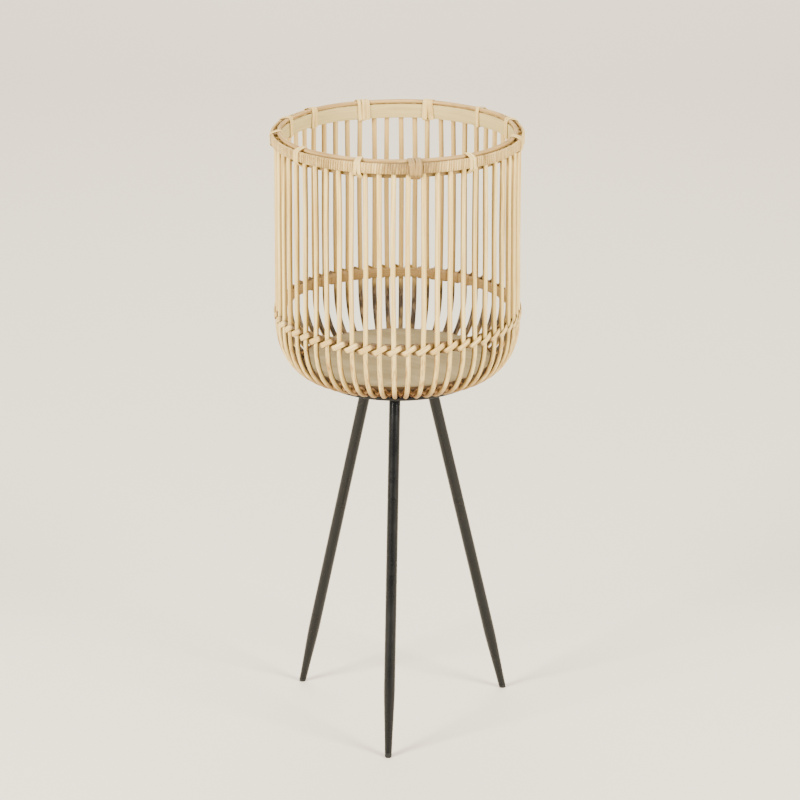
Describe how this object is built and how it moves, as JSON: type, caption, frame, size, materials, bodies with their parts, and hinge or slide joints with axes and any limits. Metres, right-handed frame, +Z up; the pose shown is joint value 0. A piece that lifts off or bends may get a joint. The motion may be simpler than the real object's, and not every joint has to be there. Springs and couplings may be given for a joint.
{
  "type": "basket plant stand",
  "caption": "Round open basket of bent cane uprights with a bound rim, a laced middle hoop and a board floor, on a black steel plate with splayed tapered legs.",
  "frame": {"origin": "on the floor under the centre of the basket, at the middle of the bounding box", "axes": "+Z up along the basket axis, front towards -Y, the front leg stands a little to the -X side of -Y"},
  "size_m": [0.2985, 0.2985, 0.7416],
  "materials": {
    "powder_coated_steel": "satin black powder coat",
    "welded_socket_steel": "satin black powder coat",
    "black_nylon": "matt black",
    "zinc_plated_screw": "bright zinc plate",
    "plywood": "matt sanded plywood",
    "dark_weaving_cane": "dark brown, matt",
    "peeled_cane": "pale peeled cane, satin, scorched at the bends",
    "toasted_cane": "light brown cane, satin",
    "binding_peel": "pale peel strip, satin",
    "split_cane_band": "pale split cane, satin",
    "wrapped_hoop_peel": "pale fine peel wrapping, satin",
    "rim_cane": "pinkish tan cane, satin",
    "brown_joint_peel": "brown peel strip, satin"
  },
  "bodies": {
    "stand_and_basket": {"base_board": "plywood", "base_screw_1": "zinc_plated_screw", "base_screw_2": "zinc_plated_screw", "base_screw_3": "zinc_plated_screw", "base_weave_lower": "dark_weaving_cane", "base_weave_upper": "dark_weaving_cane", "mid_hoop": "toasted_cane", "mid_lashing": "binding_peel", "rim_band": "split_cane_band", "rim_cane": "rim_cane", "rim_hoop": "wrapped_hoop_peel", "rim_joint_wrap": "brown_joint_peel", "rim_lashing_01": "binding_peel", "rim_lashing_02": "binding_peel", "rim_lashing_03": "binding_peel", "rim_lashing_04": "binding_peel", "rim_lashing_05": "binding_peel", "rim_lashing_06": "binding_peel", "rim_lashing_07": "binding_peel", "rim_lashing_08": "binding_peel", "rim_lashing_09": "binding_peel", "rim_lashing_10": "binding_peel", "rim_lashing_11": "binding_peel", "stand_plate": "powder_coated_steel", "upright_pair_01": "peeled_cane", "upright_pair_02": "peeled_cane", "upright_pair_03": "peeled_cane", "upright_pair_04": "peeled_cane", "upright_pair_05": "peeled_cane", "upright_pair_06": "peeled_cane", "upright_pair_07": "peeled_cane", "upright_pair_08": "peeled_cane", "upright_pair_09": "peeled_cane", "upright_pair_10": "peeled_cane", "upright_pair_11": "peeled_cane", "upright_pair_12": "peeled_cane", "upright_pair_13": "peeled_cane", "upright_pair_14": "peeled_cane", "upright_pair_15": "peeled_cane", "upright_pair_16": "peeled_cane", "upright_pair_17": "peeled_cane", "upright_pair_18": "peeled_cane", "upright_pair_19": "peeled_cane", "upright_pair_20": "peeled_cane", "upright_pair_21": "peeled_cane", "upright_pair_22": "peeled_cane", "upright_pair_23": "peeled_cane", "upright_pair_24": "peeled_cane", "upright_pair_25": "peeled_cane", "upright_pair_26": "peeled_cane", "upright_pair_27": "peeled_cane", "leg_socket_front": "welded_socket_steel", "leg_socket_left": "welded_socket_steel", "leg_socket_right": "welded_socket_steel"},
    "leg_front_unit": {"leg_front": "powder_coated_steel", "glide_front": "black_nylon"},
    "leg_left_unit": {"leg_left": "powder_coated_steel", "glide_left": "black_nylon"},
    "leg_right_unit": {"leg_right": "powder_coated_steel", "glide_right": "black_nylon"}
  },
  "joints": [
    {"name": "leg_front_unscrew", "type": "slide", "parent": "stand_and_basket", "child": "leg_front_unit", "axis": [-0.0185, -0.2362, -0.9715], "range_m": [0, 0.03]},
    {"name": "leg_left_unscrew", "type": "slide", "parent": "stand_and_basket", "child": "leg_left_unit", "axis": [-0.1953, 0.1341, -0.9715], "range_m": [0, 0.03]},
    {"name": "leg_right_unscrew", "type": "slide", "parent": "stand_and_basket", "child": "leg_right_unit", "axis": [0.2138, 0.1021, -0.9715], "range_m": [0, 0.03]}
  ]
}
